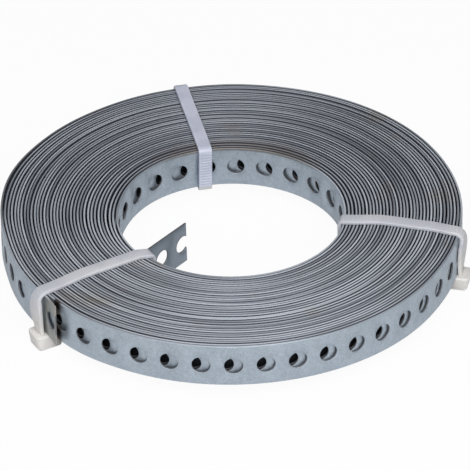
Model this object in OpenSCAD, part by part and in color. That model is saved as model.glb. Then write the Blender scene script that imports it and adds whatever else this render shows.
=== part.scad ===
// A roll of perforated metal strap: one long punched strap wound flat into a
// coil, its inner end bent into the open middle and its outer end sprung free,
// held together by three cable ties.
//
// Millimetres. The origin is on the coil's axis at floor level, +Z up. The coil
// lies flat, carried on the heads of its ties. An azimuth is measured
// counter-clockwise from +X, and the strap winds inwards clockwise.

/* [Strap] */
// Width of the strap, which is the height of the coil
strap_w = 12; // [10:0.5:20]
// Thickness of the strap
strap_t = 0.55; // [0.4:0.05:1]
// Slack between one turn and the next
turn_gap = 0.34; // [0.1:0.01:0.5]
// Number of turns
turn_count = 35; // [20:1:45]
// Depth of the grooves that show the slack on both ends of the coil
groove_depth = 0.6; // [0.3:0.1:1]
// Radius of the coil's open middle
middle_r = 30.3; // [25:0.1:45]

/* [Holes] */
// Diameter of a punched hole
hole_d = 4.8; // [3.5:0.1:6]
// Distance from one hole to the next along the strap
hole_pitch = 8.2; // [7:0.1:12]

/* [Inner end] */
// Azimuth at which the innermost turn starts to bend into the middle
bend_az = 221.4; // [200:0.1:240]
// Angle that the strap is bent through
bend_angle = 81; // [60:1:95]
// Inside radius of the bend
bend_r = 1.1; // [0.8:0.1:3]
// How far the start of the bend is sunk into the innermost turn
bend_sink = 0.15; // [0.1:0.05:0.3]
// Length of the straight tail past the bend
tail_length = 17.1; // [14:0.1:24]
// Distance from the cut end of the tail to the hole that it runs through
tail_hole_inset = 1.7; // [1:0.1:2]

/* [Outer end] */
// Length of the flap that stands off the coil
flap_length = 6.2; // [5:0.1:9]
// Angle at which the flap leaves the coil
flap_angle = 13; // [10:1:30]
// How far the flap's inner face is rooted outwards of the outermost turn's
flap_root_lift = 0.05; // [0.02:0.01:0.1]
// Distance from the cut end of the flap to its hole
flap_hole_inset = 2.7; // [2.7:0.1:4]
// How far the root of the flap is tucked under the tie beside it
flap_tuck = 0.4; // [0:0.1:1]

/* [Cable ties] */
// Width of a tie's band
band_w = 3.6; // [2.5:0.1:4.8]
// Thickness of a tie's band
band_t = 1.0; // [0.8:0.1:1.3]
// Least clearance between a band and the curved walls of the coil
band_clearance = 0.12; // [0.1:0.01:0.5]
// Width of a tie's head, along the coil's edge
head_w = 6.2; // [5.5:0.1:8]
// Height of a tie's head, which lifts the coil off the floor
head_h = 4.4; // [3.5:0.1:6]
// Length of the head inwards from the slot that the band goes through
head_in = 3.9; // [3:0.1:5]
// Length of the head outwards from the slot
head_out = 2.1; // [1.6:0.1:3]
// Radius of the head's upright edges
head_edge_r = 0.9; // [0.5:0.1:1.3]
// Azimuth of the back tie on the outside of the coil
back_out_az = 102.4; // [85:0.1:120]
// Azimuth of the back tie in the middle of the coil
back_in_az = 103.5; // [85:0.1:120]
// Azimuth of the left tie on the outside of the coil
left_out_az = 216.3; // [205:0.1:225]
// How far the left tie laps the start of the bend in the strap's inner end
left_tie_lap = 0.6; // [0:0.1:0.8]
// Azimuth of the right tie on the outside of the coil
right_out_az = 349; // [335:0.1:360]
// Azimuth of the right tie in the middle of the coil
right_in_az = 350; // [335:0.1:360]
// Length of cut end that stands out of the right tie's head
right_stub = 0.5; // [0.3:0.1:1]

/* [Hidden] */

steel_colour = "lightsteelblue";
nylon_colour = "whitesmoke";
coil_fn = 180;
hole_fn = 48;
edge_fn = 32;

turn_pitch = strap_t + turn_gap;
coil_r = middle_r + turn_count * turn_pitch - turn_gap;
strap_z = head_h;
hole_z = strap_w / 2;
hole_depth = strap_t + turn_gap;

// Holes of the tail: the first is cut through by the end of the strap.
tail_hole_count = 1 + floor((tail_length - tail_hole_inset - hole_d / 2) / hole_pitch);
bend_length = (bend_r + strap_t / 2) * bend_angle * PI / 180;
// Holes of the innermost turn, as lengths along the strap from the start of the bend.
// The strap moves out or in by one pitch in a turn, so its mean radius sets the step.
inner_step_az = hole_pitch / (middle_r + (strap_t + turn_pitch) / 2) * 180 / PI;
inner_first_s = tail_hole_inset + (tail_hole_count + 1) * hole_pitch - tail_length - bend_length;
inner_first_az = bend_az + inner_first_s / hole_pitch * inner_step_az;
inner_hole_count = floor((360 - (inner_first_az - bend_az)) / inner_step_az);

// Root of the flap, and the holes of the outermost turn, counted back from the flap's own.
flap_root_az = left_out_az + asin((band_w / 2 - flap_tuck) / coil_r);
flap_hole_s = flap_length - flap_hole_inset;
outer_step_az = hole_pitch / (coil_r - (strap_t + turn_pitch) / 2) * 180 / PI;
flap_hole_az = flap_root_az + flap_hole_s / coil_r * 180 / PI;
outer_hole_count = floor(360 / outer_step_az);

left_in_az = bend_az + asin((band_w / 2 - left_tie_lap) / middle_r);

// Point on a circle about the coil's axis.
function at_azimuth(r, az) = [r * cos(az), r * sin(az)];

// Clearance that a flat band needs from a round wall of radius r when it crosses it askew.
function band_slack(r, skew) =
    band_clearance + band_w / 2 * abs(sin(skew)) + r - sqrt(r * r - band_w * band_w / 4);

// The next hundredth of a millimetre outwards from zero.
function to_hundredth(x) = sign(x) * ceil(100 * abs(x)) / 100;

// One groove for each space between turns, as seen in the section of the coil.
module turn_grooves(z) {
    for (turn = [1 : turn_count - 1])
        translate([middle_r + turn * turn_pitch - turn_gap, z])
            square([turn_gap, groove_depth]);
}

// The wound turns as one turned body.
module wound_turns() {
    rotate_extrude($fn = coil_fn)
        difference() {
            translate([middle_r, 0]) square([coil_r - middle_r, strap_w]);
            turn_grooves(0);
            turn_grooves(strap_w - groove_depth);
        }
}

// A hole cut along +X, which starts at x = 0.
module punched_hole(depth) {
    rotate([0, 90, 0]) cylinder(d = hole_d, h = depth, $fn = hole_fn);
}

// Blind holes: each runs through the outermost or innermost turn only.
module outer_holes() {
    for (i = [1 : outer_hole_count])
        rotate([0, 0, flap_hole_az - i * outer_step_az])
            translate([coil_r - hole_depth, 0, hole_z])
                punched_hole(hole_depth + strap_t / 2);
}

module inner_holes() {
    for (i = [0 : inner_hole_count - 1])
        rotate([0, 0, inner_first_az + i * inner_step_az])
            translate([middle_r - hole_depth, 0, hole_z])
                punched_hole(2 * hole_depth);
}

// Puts its children where +X is the outside of the bend and the strap comes in from +Y.
module at_bend() {
    rotate([0, 0, bend_az])
        translate([middle_r - bend_r + bend_sink, 0, 0])
            children();
}

// The strap's inner end: the bend, then the straight tail.
module inner_end() {
    at_bend() rotate([0, 0, -bend_angle]) {
        rotate_extrude(angle = bend_angle, $fn = coil_fn)
            translate([bend_r, 0]) square([strap_t, strap_w]);
        difference() {
            translate([bend_r, -tail_length, 0])
                cube([strap_t, tail_length, strap_w]);
            for (i = [0 : tail_hole_count - 1])
                translate([bend_r - strap_t, tail_hole_inset + i * hole_pitch - tail_length, hole_z])
                    punched_hole(3 * strap_t);
        }
    }
}

// Puts its children where +X is the outer face of the flap and +Y runs to its end.
module at_flap() {
    rotate([0, 0, flap_root_az])
        translate([coil_r - strap_t + flap_root_lift, 0, 0])
            rotate([0, 0, -flap_angle])
                children();
}

module flap() {
    at_flap() cube([strap_t, flap_length, strap_w]);
}

module flap_hole() {
    at_flap()
        translate([0, flap_hole_s, hole_z])
            punched_hole(3 * strap_t);
}

// The strap is built with its lower edge at z = 0, then lifted onto the heads of the ties.
module strap_roll() {
    color(steel_colour) translate([0, 0, strap_z]) {
        difference() {
            union() {
                wound_turns();
                flap();
            }
            outer_holes();
            inner_holes();
            flap_hole();
        }
        inner_end();
    }
}

// A rectangle with round corners, from corner a to corner b.
module round_rectangle(a, b, r) {
    translate([a[0] + r, a[1]]) square([b[0] - a[0] - 2 * r, b[1] - a[1]]);
    translate([a[0], a[1] + r]) square([b[0] - a[0], b[1] - a[1] - 2 * r]);
    for (x = [a[0] + r, b[0] - r], y = [a[1] + r, b[1] - r])
        translate([x, y]) circle(r = r, $fn = edge_fn);
}

// A tie in the upright plane through its two azimuths: a band round the coil's
// section, and a head below the coil's outer edge that the band goes down into.
module cable_tie(out_az, in_az, stub) {
    p_in = at_azimuth(middle_r, in_az);
    p_out = at_azimuth(coil_r, out_az);
    run = p_out - p_in;
    span = norm(run);
    tie_az = atan2(run[1], run[0]);
    x_in = to_hundredth(-band_slack(middle_r, tie_az - in_az));
    x_out = to_hundredth(span + band_slack(coil_r, tie_az - out_az));
    slot_x = x_out + band_t / 2;
    band_top = strap_z + strap_w + band_t;

    color(nylon_colour)
        translate([p_in[0], p_in[1], 0]) rotate([0, 0, tie_az]) {
            translate([0, band_w / 2, 0]) rotate([90, 0, 0])
                linear_extrude(band_w)
                    difference() {
                        round_rectangle([x_in - band_t, strap_z - band_t], [x_out + band_t, band_top], band_t);
                        translate([x_in, strap_z]) square([x_out - x_in, strap_w]);
                    }
            translate([0, 0, stub])
                linear_extrude(strap_z - stub)
                    round_rectangle([slot_x - head_in, -head_w / 2], [slot_x + head_out, head_w / 2], head_edge_r);
            if (stub > 0)
                translate([x_out, -band_w / 2, 0])
                    cube([band_t, band_w, 2 * stub]);
        }
}

module cable_tie_back() cable_tie(back_out_az, back_in_az, 0);
module cable_tie_left() cable_tie(left_out_az, left_in_az, 0);
module cable_tie_right() cable_tie(right_out_az, right_in_az, right_stub);

strap_roll();
cable_tie_back();
cable_tie_left();
cable_tie_right();
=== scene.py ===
import math
import bpy
import bmesh
from mathutils import Matrix, Vector


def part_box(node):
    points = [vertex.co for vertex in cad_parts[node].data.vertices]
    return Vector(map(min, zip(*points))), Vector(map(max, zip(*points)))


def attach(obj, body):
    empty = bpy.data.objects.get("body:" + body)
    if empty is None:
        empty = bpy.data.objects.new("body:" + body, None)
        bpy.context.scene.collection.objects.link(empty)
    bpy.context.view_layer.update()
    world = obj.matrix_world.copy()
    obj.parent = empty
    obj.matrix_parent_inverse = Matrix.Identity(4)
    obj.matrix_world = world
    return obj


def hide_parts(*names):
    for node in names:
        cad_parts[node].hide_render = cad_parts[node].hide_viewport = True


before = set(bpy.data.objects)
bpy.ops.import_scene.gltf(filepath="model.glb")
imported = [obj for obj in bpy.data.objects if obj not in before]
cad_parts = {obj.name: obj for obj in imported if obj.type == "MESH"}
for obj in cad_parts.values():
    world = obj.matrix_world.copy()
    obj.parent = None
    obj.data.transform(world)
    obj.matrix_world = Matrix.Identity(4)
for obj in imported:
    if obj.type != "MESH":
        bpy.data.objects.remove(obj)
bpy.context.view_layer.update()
mm = 0.001
stripLow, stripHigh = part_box("strap_roll")
stripWidth = stripHigh.z - stripLow.z
print("frame loaded:", ", ".join(sorted(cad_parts)))


def outward(facing):  # unit vector in the floor plane, at an azimuth in radians
    return Vector((math.cos(facing), math.sin(facing), 0))


def azimuth(degrees):
    return outward(math.radians(degrees))


def onward(normal):  # a quarter turn further round
    return Vector((-normal.y, normal.x, 0))


def smoothStep(value):
    value = min(1, max(0, value))
    return value * value * (3 - 2 * value)


def linkObject(name, data):
    made = bpy.data.objects.new(name, data)
    bpy.context.scene.collection.objects.link(made)
    return made


def linkMesh(mesh, name, material):  # a finished bmesh becomes an object
    data = bpy.data.meshes.new(name)
    mesh.to_mesh(data)
    mesh.free()
    data.materials.append(material)
    return linkObject(name, data)


def keepPiece(mesh, name, material, node):  # and the object stands for a CAD node
    piece = linkMesh(mesh, name, material)
    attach(piece, "root")
    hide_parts(node)
    piece.data.calc_loop_triangles()
    print(f"{name}: {len(piece.data.loop_triangles)} triangles")


def flatGrid(mesh, columns, rows, length, width, middle=0):  # in the XY plane, along x
    verts = bmesh.ops.create_grid(mesh, x_segments=columns, y_segments=rows, size=0.5)["verts"]
    bmesh.ops.scale(mesh, verts=verts, vec=(length, width, 1))
    bmesh.ops.translate(mesh, verts=verts, vec=(middle, 0, 0))
    return verts


def thicken(mesh, thickness):  # a flat sheet becomes a slab, half above its plane and half below
    bmesh.ops.solidify(mesh, geom=mesh.faces, thickness=thickness)
    bmesh.ops.recalc_face_normals(mesh, faces=mesh.faces)
    middle = sum(v.co.z for v in mesh.verts) / len(mesh.verts)
    bmesh.ops.translate(mesh, verts=mesh.verts, vec=(0, 0, -middle))


def edgesOf(verts):  # every edge that ends at one of them, once
    return list(dict.fromkeys(e for v in verts for e in v.link_edges))


def cornerEdges(edges):  # those that turn by more than a radian
    return [e for e in edges if e.calc_face_angle(0) > 1]


def roundEdges(mesh, edges, offset, segments):
    bmesh.ops.bevel(mesh, geom=edges, offset=offset, offset_type="OFFSET", segments=segments,
                    profile=0.5, affect="EDGES", material=-1)


def smoothFaces(mesh, sharpAngle):  # smooth shading, but sharp where faces meet at more degrees
    for face in mesh.faces:
        face.smooth = True
    for edge in mesh.edges:
        edge.smooth = len(edge.link_faces) == 2 and edge.calc_face_angle(0) < math.radians(sharpAngle)


class Wire:  # a material's socket: operators add Math nodes, node() adds any other
    def __init__(self, tree, socket=None):
        self.tree, self.socket = tree, socket

    def node(self, kind, settings=None, inputs=None, output=0):
        made = self.tree.nodes.new(kind)
        for name, value in (settings or {}).items():
            setattr(made, name, value)
        for name, value in (inputs or {}).items():
            if isinstance(value, Wire):
                self.tree.links.new(value.socket, made.inputs[name])
            elif value is not None:
                made.inputs[name].default_value = value
        return Wire(self.tree, made.outputs[output]) if len(made.outputs) else made

    def output(self, name):
        return Wire(self.tree, self.socket.node.outputs[name])

    def math(self, operation, first, second=None):
        return self.node("ShaderNodeMath", {"operation": operation}, {0: first, 1: second})

    def __add__(self, other):
        return self.math("ADD", self, other)

    def __sub__(self, other):
        return self.math("SUBTRACT", self, other)

    def __rsub__(self, other):
        return self.math("SUBTRACT", other, self)

    def __mul__(self, other):
        return self.math("MULTIPLY", self, other)

    def __abs__(self):
        return self.math("ABSOLUTE", self)

    __radd__, __rmul__ = __add__, __mul__

    def fade(self, low, high):  # 0 below low, 1 above high
        return self.node("ShaderNodeMapRange", {"interpolation_type": "SMOOTHSTEP"},
                         {"Value": self, "From Min": low, "From Max": high})

    def blend(self, first, second):  # colours, with this socket as the factor
        first, second = (c if isinstance(c, Wire) else (*c, 1) for c in (first, second))
        return self.node("ShaderNodeMix", {"data_type": "RGBA"}, {0: self, 6: first, 7: second}, output=2)

    def noise(self, scale, detail, roughness=0.5):  # at this socket's coordinates
        return self.node("ShaderNodeTexNoise", inputs={
            "Vector": self, "Scale": scale, "Detail": detail, "Roughness": roughness})

    def vector(self, operation, other=None, output=0):
        return self.node("ShaderNodeVectorMath", {"operation": operation}, {0: self, 1: other}, output)

    def part(self, index):  # x, y or z
        return self.node("ShaderNodeSeparateXYZ", inputs={0: self}, output=index)


def clearedTree(owner):  # of a material or the world
    owner.use_nodes = True
    owner.node_tree.nodes.clear()
    return Wire(owner.node_tree)


def newMaterial(name):
    material = bpy.data.materials.new(name)
    print("material:", name)
    return material, clearedTree(material)


def finishMaterial(wires, shader):
    wires.node("ShaderNodeOutputMaterial", inputs={"Surface": shader})


view = {
    "distance": 1441.3 * mm,
    "elevation": 34.91,
    "aim": Vector((0.87, 1.94, 2.78)) * mm,  # from the axis at the strap's lower edge
    "roll": -0.75,
    "lens": 419.2,
}
studio = {
    "floorSize": 6.0,
    "floorColour": (0.73, 0.73, 0.74),
    "floorGlow": 0.95,  # share of plain white in the floor that the camera sees
    "floorGleam": 0.06,  # and in the floor that the steel mirrors
    "worldStrength": 0.232,
    "lamps": {  # azimuth and elevation in degrees, distance and size in metres, power in watts
        "rightLamp": (289, 46, 0.8, 0.51, 4.15),
        "frontLamp": (252, 48, 0.8, 0.48, 2.85),
        "leftLamp": (160, 26, 0.6, 0.14, 0.04),
    },
}


def makeCamera():
    lens = bpy.data.cameras.new("camera")
    lens.lens = view["lens"]
    camera = linkObject("camera", lens)
    base = Vector((0, 0, stripLow.z))
    rise = math.radians(view["elevation"])
    camera.location = base + view["distance"] * Vector((0, -math.cos(rise), math.sin(rise)))
    sight = base + view["aim"] - camera.location
    turned = sight.to_track_quat("-Z", "Y").to_matrix().to_4x4()
    turned = turned @ Matrix.Rotation(math.radians(view["roll"]), 4, "Z")
    camera.rotation_euler = turned.to_euler()
    bpy.context.scene.camera = camera
    print("camera placed")


def makeFloor():
    material, wires = newMaterial("pale floor")
    matte = wires.node("ShaderNodeBsdfDiffuse", inputs={"Color": (*studio["floorColour"], 1)})
    white = wires.node("ShaderNodeEmission", inputs={"Color": (1, 1, 1, 1), "Strength": 1})
    paths = wires.node("ShaderNodeLightPath")
    seen = paths * studio["floorGlow"] + paths.output("Is Glossy Ray") * studio["floorGleam"]
    finishMaterial(wires, wires.node("ShaderNodeMixShader", inputs={0: seen, 1: matte, 2: white}))
    mesh = bmesh.new()
    flatGrid(mesh, 1, 1, studio["floorSize"], studio["floorSize"])
    floor = linkMesh(mesh, "floor", material)


def makeLights():
    for name, (facing, rise, distance, size, power) in studio["lamps"].items():
        light = bpy.data.lights.new(name, "AREA")
        light.size, light.energy = size, power
        rise = math.radians(rise)
        lamp = linkObject(name, light)
        lamp.location = distance * (azimuth(facing) * math.cos(rise) + Vector((0, 0, math.sin(rise))))
        lamp.rotation_euler = (-lamp.location).to_track_quat("-Z", "Y").to_euler()
    world = bpy.data.worlds.new("studio")
    bpy.context.scene.world = world
    wires = clearedTree(world)
    sky = wires.node("ShaderNodeBackground", inputs={
        "Color": (1, 1, 1, 1), "Strength": studio["worldStrength"]})
    wires.node("ShaderNodeOutputWorld", inputs={"Surface": sky})
    bpy.context.scene.view_settings.view_transform = "Standard"
    print("studio lit")


strap = {  # punched flat and then wound up
    "thickness": 0.55 * mm,
    "turns": 34.989,  # from the bend at the inner end to the root of the flap
    "innerRadius": 29.86 * mm,  # inner face at the start of the innermost turn
    "outerRadius": 61.13 * mm,  # outer face at the end of the outermost turn, if it were round
    "lobes": ((1, 0.37, -42), (2, 0.27, 173), (3, 0.29, 73), (4, 0.16, -161)),  # count, mm, degrees
    # azimuth and spread in degrees, height in mm, and how fast it fades on the other turns
    "bulges": (  # of the outer turns
        (8, 12, 0.13, 4), (90, 9, 0.22, 4), (126, 9, -0.2, 4), (163, 14, 0.44, 4),
        (163, 14, 0.5, 60), (143, 30, -0.28, 4), (143, 30, 0.38, 60), (285, 45, 0.12, 60),
        (181, 8, 0.15, 4), (191, 9, -0.3, 4), (229, 9, 0.4, 4), (334, 13, -0.28, 4),
    ),
    "dents": (  # of the inner turns
        (4, 24, -0.6, 9), (55, 40, -0.65, 9), (110, 30, -0.4, 9), (168, 30, -1.15, 5),
    ),
    "slump": (88, 60, 0.9, 6),  # how far the upper edges of the inner turns lean in
    "slumpReach": (0.68, 0.32),  # how it follows the strap's length: in proportion, and squared
    "swellStart": 40 * mm,  # of the innermost turn, over which it leaves the round
    "bendAzimuth": 221.4,
    "bendAngle": 81.0,
    "bendRadius": 1.1 * mm,
    "tailLength": 16.65 * mm,
    "tailSkew": 0.02,  # of its cut end, back towards the upper edge
    "flapLength": 6.2 * mm,
    "flapAngle": 12.0,
    "flapEasing": 1.6 * mm,  # length over which the flap bends away
    "holeRadius": 2.4 * mm,
    "holePitch": 8.2 * mm,
    "innerPitch": 8.035 * mm,  # of the innermost turns
    "holeSides": 24,
    "tailHoleInset": 1.7 * mm,
    "flapHoleInset": 2.7 * mm,
    "tailHoles": 2,  # at the full pitch
    "punchedTurns": 3,  # turns at each side of the coil whose holes can be seen
    "cellColumns": 4,
    "edgeRounding": 0.13 * mm,
    "edgeSegments": 2,
    "edgeSlope": 0.12,  # of the sheared edges, down towards the outside of the coil
    "rimRounding": 0.06 * mm,
    "rimSegments": 1,
    "mergeDistance": 0.01 * mm,
    "smallestEdge": 0.002 * mm,
    "sharpAngle": 50,
    "unevenGap": 0.09 * mm,
    "gapWaves": ((0.31, 0), (0.83, 1), (1.37, 4)),  # rates per radian of winding, and starts
    "gapStart": 20 * mm,  # of the innermost turn, over which its gap settles
    "gapEnd": (3, 6),  # radians before the flap without waves, and radians over which they grow
    "unevenHeight": 0.14 * mm,
    "heightWaves": ((1.9, 0), (4.7, 2)),
    "lean": 0.16,  # degrees that a turn leans in or out at most
    "leanWaves": ((3.1, 1),),
    "waveLength": 190 * mm,  # of strap, per unit of the waves in height and lean
    "evenLength": 50 * mm,  # at each end of the winding, over which height and lean even out
}


def waves(shapes, place):  # mean of sine waves, each with its rate and start
    return sum(math.sin(rate * place + start) for rate, start in shapes) / len(shapes)


def swelling(facing, share, middle, spread, size, power):  # one bulge, in metres
    away = (math.degrees(facing) - middle + 180) % 360 - 180
    return size * mm * math.exp(-(away / spread) ** 2) * share ** power


def outOfRound(facing, share):  # at an azimuth in radians, on a turn from 0, innermost, to 1, outermost
    lobed = sum(size * math.cos(count * facing - math.radians(phase))
                for count, size, phase in strap["lobes"])
    bulged = sum(swelling(facing, share, *bulge) for bulge in strap["bulges"])
    dented = sum(swelling(facing, 1 - share, *dent) for dent in strap["dents"])
    return lobed * share ** 2 * mm + bulged + dented


def slumpAt(facing, share, rise):  # inward lean at a height from 0 to 1
    return swelling(facing, 1 - min(1, max(0, share)), *strap["slump"]) * rise


def coilFace(degrees, outer):  # radius of the coil's outer or inner face at an azimuth
    step = (strap["outerRadius"] - strap["innerRadius"]) / strap["turns"]
    if outer:
        rootAzimuth = strap["bendAzimuth"] + strap["turns"] * 360
        back = ((rootAzimuth - degrees) % 360) / 360
        return strap["outerRadius"] - step * back + outOfRound(math.radians(degrees), 1)
    turned = ((degrees - strap["bendAzimuth"]) % 360) / 360
    return strap["innerRadius"] + step * turned + outOfRound(math.radians(degrees), turned / strap["turns"])


def strapPath():  # the mid-surface of the wound strap, as a function of the length from its inner end
    half = strap["thickness"] / 2
    inner, outer = strap["innerRadius"] + half, strap["outerRadius"] - half
    sweep = strap["turns"] * 2 * math.pi
    growth = (outer - inner) / sweep  # of the radius, per radian
    start = math.radians(strap["bendAzimuth"])
    bend = math.radians(strap["bendAngle"])
    bendMid = strap["bendRadius"] + half
    bendCentre = azimuth(strap["bendAzimuth"]) * (inner - bendMid)
    tail, bendLength = strap["tailLength"], bendMid * bend
    woundLength = inner * sweep + growth * sweep * sweep / 2
    easingRadius = strap["flapEasing"] / math.radians(strap["flapAngle"])
    lengths = {"spiralStart": tail + bendLength, "flapStart": tail + bendLength + woundLength}
    lengths["total"] = lengths["flapStart"] + strap["flapLength"]

    def onSpiral(along):  # radius, and azimuth in radians
        turned = (math.sqrt(inner * inner + 2 * growth * along) - inner) / growth
        still, growing = strap["gapEnd"]
        fade = min(1, along / strap["gapStart"], max(0, (sweep - turned - still) / growing))
        swell = outOfRound(start + turned, turned / sweep) * min(1, along / strap["swellStart"])
        wander = waves(strap["gapWaves"], turned) * fade * strap["unevenGap"]
        return inner + growth * turned + swell + wander, start + turned

    rootRadius, rootAzimuth = onSpiral(woundLength)
    root = outward(rootAzimuth)

    def pointAt(along):  # place, and the direction across the strap towards the outside
        if along < lengths["spiralStart"]:  # the tail and its bend
            normal = outward(start - bend + max(0, along - tail) / bendMid)
            return bendCentre + normal * bendMid - onward(normal) * max(0, tail - along), normal
        if along < lengths["flapStart"]:
            radius, facing = onSpiral(along - lengths["spiralStart"])
            normal = outward(facing)
            return normal * radius, normal
        beyond = along - lengths["flapStart"]
        eased = min(beyond, strap["flapEasing"])
        swung = eased / easingRadius
        place = root * (rootRadius + easingRadius * (1 - math.cos(swung)))
        place += onward(root) * easingRadius * math.sin(swung)
        normal = root * math.cos(swung) - onward(root) * math.sin(swung)
        return place + onward(normal) * (beyond - eased), normal

    return pointAt, lengths


strapPoint, strapLengths = strapPath()


def punchedCell(pitch):  # one hole's length of flat strap, with its hole
    mesh = bmesh.new()
    bmesh.ops.create_circle(mesh, segments=strap["holeSides"], radius=strap["holeRadius"])
    grid = flatGrid(mesh, strap["cellColumns"], 1, pitch, stripWidth)
    inside = [e for e in edgesOf(grid) if not e.is_boundary]
    bmesh.ops.delete(mesh, geom=inside, context="EDGES_FACES")
    bmesh.ops.triangle_fill(mesh, edges=mesh.edges, use_beauty=True)
    data = bpy.data.meshes.new("cell")
    mesh.to_mesh(data)
    mesh.free()
    return data


def flatStrap():  # the whole strap in the XY plane, as a sheet without thickness
    mesh = bmesh.new()
    total = strapLengths["total"]
    pitch, innerPitch = strap["holePitch"], strap["innerPitch"]
    pastTail = strap["tailHoleInset"] + (strap["tailHoles"] - 0.5) * pitch
    punched = strap["punchedTurns"] * 2 * math.pi
    innerCount = math.ceil(punched * strap["innerRadius"] / innerPitch)
    outerCount = math.ceil((strap["flapLength"] + punched * strap["outerRadius"]) / pitch)
    stretches = (  # first hole, pitch, count and way on
        (strap["tailHoleInset"], pitch, strap["tailHoles"], 1),
        (pastTail + innerPitch / 2, innerPitch, innerCount, 1),
        (total - strap["flapHoleInset"], pitch, outerCount, -1),
    )
    ends = []
    for first, step, count, way in stretches:
        cell = punchedCell(step)
        for i in range(count):
            before = len(mesh.verts)
            mesh.from_mesh(cell)
            mesh.verts.ensure_lookup_table()
            bmesh.ops.translate(mesh, verts=mesh.verts[before:], vec=(first + way * i * step, 0, 0))
        ends.append(first + way * (count - 0.5) * step)
        bpy.data.meshes.remove(cell)
    plainStart, plainEnd = ends[1:]  # between the punched stretches
    columns = round((plainEnd - plainStart) / pitch * strap["cellColumns"])
    flatGrid(mesh, columns, 1, plainEnd - plainStart, stripWidth, (plainStart + plainEnd) / 2)
    bmesh.ops.remove_doubles(mesh, verts=mesh.verts, dist=strap["mergeDistance"])
    for cut, facing in ((0, (-1, strap["tailSkew"], 0)), (total, (1, 0, 0))):  # the two cut ends
        everything = mesh.verts[:] + mesh.edges[:] + mesh.faces[:]
        bmesh.ops.bisect_plane(mesh, geom=everything, plane_co=(cut, 0, 0), plane_no=facing,
                               clear_outer=True)
    bmesh.ops.recalc_face_normals(mesh, faces=mesh.faces)
    if mesh.faces[0].normal.z < 0:
        bmesh.ops.reverse_faces(mesh, faces=mesh.faces)
    return mesh


def roundStrap(mesh):
    border = stripWidth / 2
    longEdges = [e for e in cornerEdges(mesh.edges)
                 if min(abs(v.co.y) for v in e.verts) > border - strap["mergeDistance"]
                 and abs(e.verts[0].co.x - e.verts[1].co.x) > strap["mergeDistance"]]
    roundEdges(mesh, longEdges, strap["edgeRounding"], strap["edgeSegments"])
    rims = [e for e in cornerEdges(mesh.edges)
            if max(abs(v.co.y) for v in e.verts) < border - strap["edgeRounding"] / 2]
    roundEdges(mesh, rims, strap["rimRounding"], strap["rimSegments"])
    bmesh.ops.dissolve_degenerate(mesh, dist=strap["smallestEdge"], edges=mesh.edges)


def markStrap(mesh):  # what the steel's material reads
    uv = mesh.loops.layers.uv.new("alongStrap")
    sheared = mesh.faces.layers.float.new("sheared")
    covered = mesh.faces.layers.float.new("covered")  # by how many turns
    for face in mesh.faces:
        along = face.calc_center_median().x
        face[sheared] = 1 - abs(face.normal.z)
        outside = (strapLengths["flapStart"] - along) / (2 * math.pi * strap["outerRadius"])
        inside = (along - strapLengths["spiralStart"]) / (2 * math.pi * strap["innerRadius"])
        if face[sheared] > 0.5:
            turns = min(outside, inside)
        else:
            turns = outside if face.normal.z > 0 else inside
        face[covered] = max(0, math.floor(turns))
        for corner in face.loops:
            corner[uv].uv = (corner.vert.co.x, corner.vert.co.y + stripWidth / 2)


def windStrap(mesh):
    spiralStart, flapStart = strapLengths["spiralStart"], strapLengths["flapStart"]
    roundedFrom = stripWidth / 2 - strap["edgeRounding"] - strap["mergeDistance"]
    inProportion, squared = strap["slumpReach"]
    for vert in mesh.verts:
        along, height, across = vert.co
        place, normal = strapPoint(along)
        fromStart, toFlap = along - spiralStart, flapStart - along
        loose = min(1, max(0, fromStart / strap["evenLength"]), max(0, toFlap / strap["evenLength"]))
        wave = along / strap["waveLength"]
        if abs(height) > roundedFrom:
            height -= math.copysign(strap["edgeSlope"] * (across + strap["thickness"] / 2), height)
        lift = strap["unevenHeight"] * loose * waves(strap["heightWaves"], wave)
        lean = math.radians(strap["lean"]) * loose * waves(strap["leanWaves"], wave)
        share = fromStart / (flapStart - spiralStart)
        share *= inProportion + squared * share
        slump = slumpAt(math.atan2(place.y, place.x), share, height / stripWidth + 0.5)
        across -= slump * loose
        vert.co = place + normal * (across + height * math.sin(lean))
        vert.co.z = stripLow.z + stripWidth / 2 + height + lift


def makeStrap(material):
    mesh = flatStrap()
    thicken(mesh, strap["thickness"])
    print("strap punched:", round(strapLengths["total"], 3), "m")
    roundStrap(mesh)
    markStrap(mesh)
    smoothFaces(mesh, strap["sharpAngle"])
    windStrap(mesh)
    keepPiece(mesh, "perforated_strap", material, "strap_roll")


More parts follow.
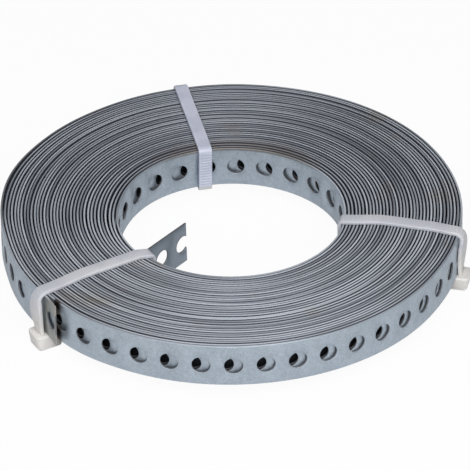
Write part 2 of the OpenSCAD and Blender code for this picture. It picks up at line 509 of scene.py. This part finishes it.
steel = {
    "skin": ((0.37, 0.43, 0.49), (0.50, 0.57, 0.64)),  # zinc, dark and pale
    "cutDark": ((0.186, 0.204, 0.238), (0.184, 0.17, 0.158)),  # sheared edges, bluish and brownish,
    "cutPale": ((0.465, 0.5, 0.557), (0.43, 0.42, 0.41)),  # in dark and in pale runs
    "cutRuns": 14,  # changes of tone in a metre of strap
    "cutRange": (0.2, 0.7),  # of how far a face turns from the skin to the cut
    "fleck": (900, 3, 0.6),  # scale, detail and roughness of each noise
    "grit": (2600, 2, 0.7),
    "cloud": (130, 2),
    "tint": (85, 1),
    "turnTone": (1, 2),
    "mottle": (0.3, 0.4, 0.9, 0.5),  # level, and shares of cloud, grit and fleck
    "mottleRange": (0.25, 0.75),
    "tintRange": (0.58, 0.85),
    "toneRange": (0.36, 0.62),
    # painted shade: the tail, down in the coil's well, has darker skin and near-black cut edges
    "tailShadeSkin": (0.31, 0.36, 0.42),
    "tailShadeCut": (0.07, 0.073, 0.08),
    "tailFade": 6 * mm,  # past the bend
    # painted shade: the flap's skin and cut edges are darker and warmer than the rest of the strap
    "flapShadeSkin": (0.34, 0.355, 0.345),
    "flapSkinRange": (-2 * mm, 1 * mm),  # from the flap's root
    "flapShadeCut": (0.30, 0.28, 0.265),
    "flapCutRange": (0, 4 * mm),
    "dull": (0.15, 0.155, 0.17),  # a stretch of the outermost turn's edges
    "dullRanges": ((-170 * mm, -130 * mm), (-50 * mm, -20 * mm)),  # from the flap's root
    "gapShade": (0.15, 0.16, 0.19),  # painted shade on the skin just inside the gap between two turns
    "gapRange": (-1.8 * mm, -0.9 * mm),  # from the strap's edge
    "rimShade": (0.14, 0.145, 0.16),  # painted shade on the holes' cut rims
    "rimRange": (0.2 * mm, 1 * mm),  # beyond the hole
    "holeShade": (0.04, 0.042, 0.05),  # painted shade: near black on what the holes show beyond the second turn
    "deepTurns": (1.2, 1.8),
    "deepRange": (1 * mm, 2 * mm),
    "deepPaler": 0.5,  # share that the cut faces keep of their own tone
    "stain": (0.2, 0.165, 0.14),
    "stainOnCut": 0.8,
    "stainOnSkin": 0.7,
    "stainMiddle": (2 * mm, 29 * mm, 0),
    "stainReach": (13 * mm, 27 * mm),
    "stainRadius": (31 * mm, 35.5 * mm),  # from the coil's axis
    "stainEdge": (-0.9 * mm, -0.3 * mm),  # from the strap's upper edge
    "paintedFlapShadow": (0.04, 0.031, 0.025),  # painted shadow on the wall behind the flap's cut end
    "flapShadowPlace": 0.95,  # of the flap's length
    "flapShadowDepth": 0.445 * mm,  # from the middle of the outermost turn to the middle of the gap
    "flapShadowRanges": ((-3 * mm, -2 * mm), (-0.8 * mm, 1 * mm)),
    "flapShadowCloud": 0.5,
    "metallic": (0.85, 0.75),  # of the skin, and how much less the cut has
    "roughness": (0.36, 0.16, 0.34),  # level, and shares of fleck and cut
    "bump": 0.12,
}


def shifted(place, spans):  # a range, or a pair of them, moved on by a length
    return tuple(shifted(place, s) if isinstance(s, tuple) else place + s for s in spans)


def galvanisedSteel():
    material, wires = newMaterial("galvanised steel")
    flat = wires.node("ShaderNodeUVMap", {"uv_map": "alongStrap"})
    space = wires.node("ShaderNodeTexCoord", output=3)
    sheared, covered = (wires.node("ShaderNodeAttribute", {"attribute_name": name}, output=2)
                        for name in ("sheared", "covered"))
    along, height = flat.part(0), flat.part(1)
    fleck, grit, cloud, tint = (space.noise(*steel[name]) for name in ("fleck", "grit", "cloud", "tint"))
    turnTone = flat.vector("MULTIPLY", (steel["cutRuns"], 0, 0)).noise(*steel["turnTone"])
    flapStart = strapLengths["flapStart"]
    offMiddle = abs(height - stripWidth / 2)

    level, ofCloud, ofGrit, ofFleck = steel["mottle"]
    mottle = level + ofCloud * cloud + ofGrit * (grit - 0.5) + ofFleck * (fleck - 0.5)
    skin = mottle.fade(*steel["mottleRange"]).blend(*steel["skin"])
    brownish = tint.fade(*steel["tintRange"])
    cut = turnTone.fade(*steel["toneRange"]).blend(
        brownish.blend(*steel["cutDark"]), brownish.blend(*steel["cutPale"]))

    ground = space.vector("MULTIPLY", (1, 1, 0))
    stain = 1 - ground.vector("LENGTH", output=1).fade(*steel["stainRadius"])
    away = ground.vector("DISTANCE", steel["stainMiddle"], output=1)
    stain = stain * (1 - away.fade(*steel["stainReach"]))
    upper = height.fade(*shifted(stripWidth, steel["stainEdge"]))
    # painted shade on the tail, fading out past the bend
    pastTail = along.fade(strap["tailLength"], strap["tailLength"] + steel["tailFade"])
    onFlap = along.fade(*shifted(flapStart, steel["flapSkinRange"]))
    # painted shade down in the gaps between turns
    gapShade = covered.fade(0, 1) * offMiddle.fade(*shifted(stripWidth / 2, steel["gapRange"]))
    skin = pastTail.blend(steel["tailShadeSkin"], skin)
    skin = onFlap.blend(skin, steel["flapShadeSkin"])
    skin = (steel["stainOnSkin"] * stain * upper).blend(skin, steel["stain"])
    skin = gapShade.blend(skin, steel["gapShade"])

    onFlap = along.fade(*shifted(flapStart, steel["flapCutRange"]))
    dullFrom, dullTo = shifted(flapStart, steel["dullRanges"])
    dull = along.fade(*dullFrom) * (1 - along.fade(*dullTo))
    pastRim = offMiddle.fade(*shifted(strap["holeRadius"], steel["rimRange"]))
    cut = (steel["stainOnCut"] * stain).blend(cut, steel["stain"])
    cut = onFlap.blend(cut, steel["flapShadeCut"])
    cut = dull.blend(cut, steel["dull"])
    cut = pastTail.blend(steel["tailShadeCut"], cut)
    # painted shade on the holes' cut rims
    cut = pastRim.blend(steel["rimShade"], cut)

    # painted shade on the turns that the holes show beyond the second
    atHoles = 1 - offMiddle.fade(*shifted(strap["holeRadius"], steel["deepRange"]))
    holeShade = covered.fade(*steel["deepTurns"]) * atHoles
    # painted shadow that the flap's cut end casts on the turn below it, mottled with the cloud noise
    flapShadowRadius = strap["outerRadius"] - strap["thickness"] / 2 - steel["flapShadowDepth"]
    flapShadowMiddle = flapStart + steel["flapShadowPlace"] * strap["flapLength"] - 2 * math.pi * flapShadowRadius
    flapShadowFrom, flapShadowTo = shifted(flapShadowMiddle, steel["flapShadowRanges"])
    paintedFlapShadow = along.fade(*flapShadowFrom) * (1 - along.fade(*flapShadowTo))
    colour = sheared.fade(*steel["cutRange"]).blend(skin, cut)
    colour = (holeShade * (1 - steel["deepPaler"] * sheared)).blend(colour, steel["holeShade"])
    colour = (paintedFlapShadow * (1 + steel["flapShadowCloud"] * (cloud - 0.5))).blend(colour, steel["paintedFlapShadow"])

    metallic, lost = steel["metallic"]
    rough, ofFleck, ofCut = steel["roughness"]
    bump = wires.node("ShaderNodeBump", inputs={
        "Height": fleck, "Strength": steel["bump"], "Distance": 0.1 * mm})
    finishMaterial(wires, wires.node("ShaderNodeBsdfPrincipled", inputs={
        "Base Color": colour, "Metallic": metallic - lost * sheared,
        "Roughness": rough + ofFleck * fleck + ofCut * sheared, "Normal": bump}))
    return material


tieBand = {
    "width": 3.6 * mm,
    "thickness": 1.0 * mm,
    "cornerRadius": 0.9 * mm,  # of the band's middle, where it turns over the coil's edges
    "outerCornerRadius": 2.3 * mm,  # where it stands off the coil's upper outer edge
    "edgeRounding": 0.25 * mm,
    "edgeSegments": 3,
    "clearance": 0.12 * mm,
    "step": 0.88 * mm,  # length of one rib and one groove
    "ribHeight": 0.12 * mm,
    "ribInset": 0.08 * mm,
    "ribEnd": 1 * mm,  # plain length above the ribs
    "startInHead": 0.6,  # share of the head's inner part that the band's lower run goes into
    "endHeight": 0.5 * mm,  # of the end in the head, above the floor, where there is no stub
    "bowPower": 1.2,
    "twistRange": (3, 2),  # how fast the twist grows from the top down, and fades to the head
}
tieHead = {
    "width": 6.2 * mm,
    "height": 4.4 * mm,
    "rounding": 0.6 * mm,
    "cornerRounding": 1.3 * mm,  # of the two upright outer edges
    "segments": 4,
    "taper": 0.3,  # of the outer end towards the bottom
    "sideTaper": 0.1,
    "sharpAngle": 40,
}
ties = {  # azimuths in degrees where the band crosses the coil's two faces; sway as place and mm
    # bow and standOff off the outer wall, twist as a slope across the band, stub below the head
    "cable_tie_back": {
        "outside": 102.4, "inside": 103.5, "sway": ((0, 0), (1, 0.25)),
        "bow": 0.2 * mm, "standOff": 0.6 * mm, "twist": 0, "stub": 0,
        "headShift": 0.25 * mm, "headIn": 3.9 * mm, "headOut": 2.1 * mm,
        "ribs": True, "nylon": "bluish nylon"},
    "cable_tie_left": {
        "outside": 216.3, "inside": 223.67, "sway": ((0, -0.6), (0.1, -1.6), (0.5, -1.5), (1, 0)),
        "bow": 0.4 * mm, "standOff": 0.6 * mm, "twist": -0.25, "stub": 0,
        "headShift": 0, "headIn": 5.0 * mm, "headOut": 2.2 * mm,
        "ribs": False, "nylon": "milky nylon"},
    "cable_tie_right": {
        "outside": 349, "inside": 350, "sway": ((0, -0.4), (0.35, 1.2), (0.7, 0.7), (1, -0.3)),
        "bow": -0.1 * mm, "standOff": 0.55 * mm, "twist": 0.25, "stub": 0.4 * mm,
        "headShift": -0.9 * mm, "headIn": 5.2 * mm, "headOut": 2.8 * mm,
        "ribs": False, "nylon": "milky nylon"},
}


def tiePlane(tie):  # the upright plane of a tie: its matrix, and the two x at which the band meets the coil
    innerRadius, outerRadius = coilFace(tie["inside"], False), coilFace(tie["outside"], True)
    inside = azimuth(tie["inside"]) * innerRadius
    run = azimuth(tie["outside"]) * outerRadius - inside
    turn = math.atan2(run.y, run.x)
    halfWidth = tieBand["width"] / 2

    def slack(radius, degrees):  # room for the flat band on the round coil
        skew = abs(math.sin(turn - math.radians(degrees)))
        return (tieBand["clearance"] + halfWidth * skew
                + radius - math.sqrt(radius * radius - halfWidth * halfWidth))

    low = -slack(innerRadius, tie["inside"])
    high = run.length + slack(outerRadius, tie["outside"])
    return Matrix.Translation(inside) @ Matrix.Rotation(turn, 4, "Z"), low, high


def swayAt(points, place):  # sideways shift in metres at a place from 0, at the inner edge, to 1
    for (a, low), (b, high) in zip(points, points[1:]):
        if place <= b:
            return (low + (high - low) * smoothStep((place - a) / (b - a))) * mm
    return points[-1][1] * mm


def roundedPath(corners, radii):  # straight runs and quarter turns; gives place and outward normal
    runs, last = [], Vector(corners[0])  # radius, length, start or centre, and heading of each run
    for i in range(1, len(corners)):
        corner = Vector(corners[i])
        radius = radii[i - 1] if i < len(corners) - 1 else 0
        heading = (corner - last).normalized()
        end = corner - heading * radius
        runs.append((0, (end - last).length, last, heading))
        if radius:
            onwards = (Vector(corners[i + 1]) - corner).normalized()
            runs.append((radius, radius * math.pi / 2, end + onwards * radius, heading))
            last = corner + onwards * radius

    def at(along):
        for run in runs:
            if along <= run[1] or run is runs[-1]:
                break
            along -= run[1]
        radius, length, start, heading = run
        normal = Vector((-heading.y, heading.x))
        if not radius:
            return start + heading * along, normal
        angle = along / radius
        normal = normal * math.cos(angle) + heading * math.sin(angle)
        return start + normal * radius, normal

    return at, [length for radius, length, start, heading in runs]


def makeBand(tie, low, high):  # in the tie's own plane: x outwards, y sideways, z up
    half = tieBand["thickness"] / 2
    under, over = stripLow.z - half, stripHigh.z + half
    inner, outer = low - half, high + half + tie["standOff"]
    first = high + half - tie["headIn"] * tieBand["startInHead"]
    last = 0 if tie["stub"] else tieBand["endHeight"]
    at, lengths = roundedPath(
        ((first, under), (inner, under), (inner, over), (outer, over), (outer, last)),
        (tieBand["cornerRadius"], tieBand["cornerRadius"], tieBand["outerCornerRadius"]))
    total = sum(lengths)
    columns = round(total / (tieBand["step"] / 2))
    mesh = bmesh.new()
    flatGrid(mesh, columns, 2, total, tieBand["width"], total / 2)
    thicken(mesh, tieBand["thickness"])
    roundEdges(mesh, cornerEdges(mesh.edges), tieBand["edgeRounding"], tieBand["edgeSegments"])
    uv = mesh.loops.layers.uv.new("alongBand")
    for face in mesh.faces:
        for corner in face.loops:
            corner[uv].uv = (corner.vert.co.x, corner.vert.co.y)
    if tie["ribs"]:  # where the band runs down the coil's inner wall, on its face away from the wall
        wallStart = sum(lengths[:2])
        wallEnd = sum(lengths[:3]) - tieBand["ribEnd"]
        onWall = [f for f in mesh.faces
                  if f.normal.z > 0.9 and wallStart < f.calc_center_median().x < wallEnd]
        ribs = [f for f in onWall if int(f.calc_center_median().x / total * columns) % 2]
        bmesh.ops.inset_region(mesh, faces=ribs, thickness=tieBand["ribInset"], depth=tieBand["ribHeight"])
    for vert in mesh.verts:
        along, side, across = vert.co
        place, normal = at(along)
        place = place + normal * across
        span = min(1, max(0, (place.x - low) / (high - low)))
        up = (place.y - stripLow.z) / stripWidth
        place.x -= slumpAt(math.radians(tie["inside"]), span, min(1, max(0, up)))
        above = swayAt(tie["sway"], span)
        below = tie["sway"][0][1] * (1 - span) * mm + tie["headShift"] * span
        if place.x > high and along > total / 2:  # the outer wall's side
            rise = (place.y - tieHead["height"]) / (stripHigh.z - tieHead["height"])
            fromTop, toHead = tieBand["twistRange"]
            place.x -= tie["standOff"] * (1 - smoothStep(rise))
            place.x += tie["twist"] * side * smoothStep(fromTop * (1 - rise)) * smoothStep(toHead * rise)
            if 0 < rise < 1:
                place.x += tie["bow"] * math.sin(math.pi * rise) ** tieBand["bowPower"]
        side += below + (above - below) * smoothStep(up)
        vert.co = (place.x, side, place.y)
    return mesh


def makeHead(mesh, tie, slotX):
    band = set(mesh.verts)
    made = bmesh.ops.create_cube(mesh, size=1)["verts"]
    height = tieHead["height"] - tie["stub"]
    bmesh.ops.scale(mesh, verts=made, vec=(tie["headIn"] + tie["headOut"], tieHead["width"], height))
    centre = slotX + (tie["headOut"] - tie["headIn"]) / 2
    bmesh.ops.translate(mesh, verts=made, vec=(centre, 0, height / 2 + tie["stub"]))
    upright = [e for e in edgesOf(made) if all(v.co.x > centre for v in e.verts)
               and abs(e.verts[0].co.z - e.verts[1].co.z) > 1 * mm]
    roundEdges(mesh, upright, tieHead["cornerRounding"], tieHead["segments"])
    made = [v for v in mesh.verts if v not in band]
    roundEdges(mesh, cornerEdges(edgesOf(made)), tieHead["rounding"], tieHead["segments"])
    for vert in mesh.verts:
        if vert not in band:
            down = 1 - (vert.co.z - tie["stub"]) / height
            vert.co.x -= max(0, vert.co.x - slotX) * tieHead["taper"] * down
            vert.co.y = tie["headShift"] + vert.co.y * (1 - tieHead["sideTaper"] * down)


def makeTie(name, material):
    tie = ties[name]
    place, low, high = tiePlane(tie)
    mesh = makeBand(tie, low, high)
    makeHead(mesh, tie, high + tieBand["thickness"] / 2)
    bmesh.ops.recalc_face_normals(mesh, faces=mesh.faces)
    smoothFaces(mesh, tieHead["sharpAngle"])
    bmesh.ops.transform(mesh, matrix=place, verts=mesh.verts)
    keepPiece(mesh, name + "_nylon", material, name)


nylon = {
    "cloud": (160, 2),  # scale and detail of each noise
    "grain": (2200, 2),
    "cloudRange": (0.35, 0.65),
    "moulded": ((0.635, 0.62, 0.595), (0.70, 0.68, 0.655)),  # two clouded shades of the heads
    "teethSide": (1.1 * mm, 1.35 * mm),  # from the band's middle line, where the teeth end
    "teethShare": 0.3,
    "roughness": (0.35, 0.1),  # level, and share of grain
    "bump": 0.1,
    "subsurface": (0.25, 1 * mm, (1, 0.9, 0.85)),  # weight, scale and radius
    "bands": {  # two clouded shades, the teeth that show through, and where the head's tone has faded; on the milky bands that tone is painted light up their upright runs
        "bluish nylon": {"shades": ((0.50, 0.53, 0.635), (0.58, 0.60, 0.705)),
                         "teeth": (0.42, 0.43, 0.525), "headTop": tieHead["height"] + 1 * mm},
        "milky nylon": {"shades": ((0.50, 0.51, 0.56), (0.575, 0.58, 0.615)),
                        # painted light: the paler head tone is kept on the upright runs, up to the coil's
                        # top
                        "teeth": (0.405, 0.405, 0.455), "headTop": stripHigh.z + 1 * mm},
    },
}


def naturalNylon(name):
    material, wires = newMaterial(name)
    tones = nylon["bands"][name]
    space = wires.node("ShaderNodeTexCoord", output=3)
    flat = wires.node("ShaderNodeUVMap", {"uv_map": "alongBand"})
    cloudy = space.noise(*nylon["cloud"]).fade(*nylon["cloudRange"])
    grain = space.noise(*nylon["grain"])
    tooth = wires.math("SINE", flat.part(0) * (2 * math.pi / tieBand["step"]))
    toothed = (0.5 + 0.5 * tooth) * (1 - abs(flat.part(1)).fade(*nylon["teethSide"]))
    band = (nylon["teethShare"] * toothed).blend(cloudy.blend(*tones["shades"]), tones["teeth"])
    # the head's tone up to headTop; on the milky bands this is painted light on their upright runs
    aboveHead = space.part(2).fade(tieHead["height"], tones["headTop"])
    colour = aboveHead.blend(cloudy.blend(*nylon["moulded"]), band)
    rough, ofGrain = nylon["roughness"]
    weight, scale, radius = nylon["subsurface"]
    bump = wires.node("ShaderNodeBump", inputs={
        "Height": grain, "Strength": nylon["bump"], "Distance": 0.1 * mm})
    finishMaterial(wires, wires.node("ShaderNodeBsdfPrincipled", inputs={
        "Base Color": colour, "Roughness": rough + ofGrain * grain, "Normal": bump,
        "Subsurface Weight": weight, "Subsurface Scale": scale, "Subsurface Radius": radius}))
    return material


makeCamera()
makeFloor()
makeLights()
makeStrap(galvanisedSteel())
nylons = {name: naturalNylon(name) for name in nylon["bands"]}
for tieName in ties:
    makeTie(tieName, nylons[ties[tieName]["nylon"]])
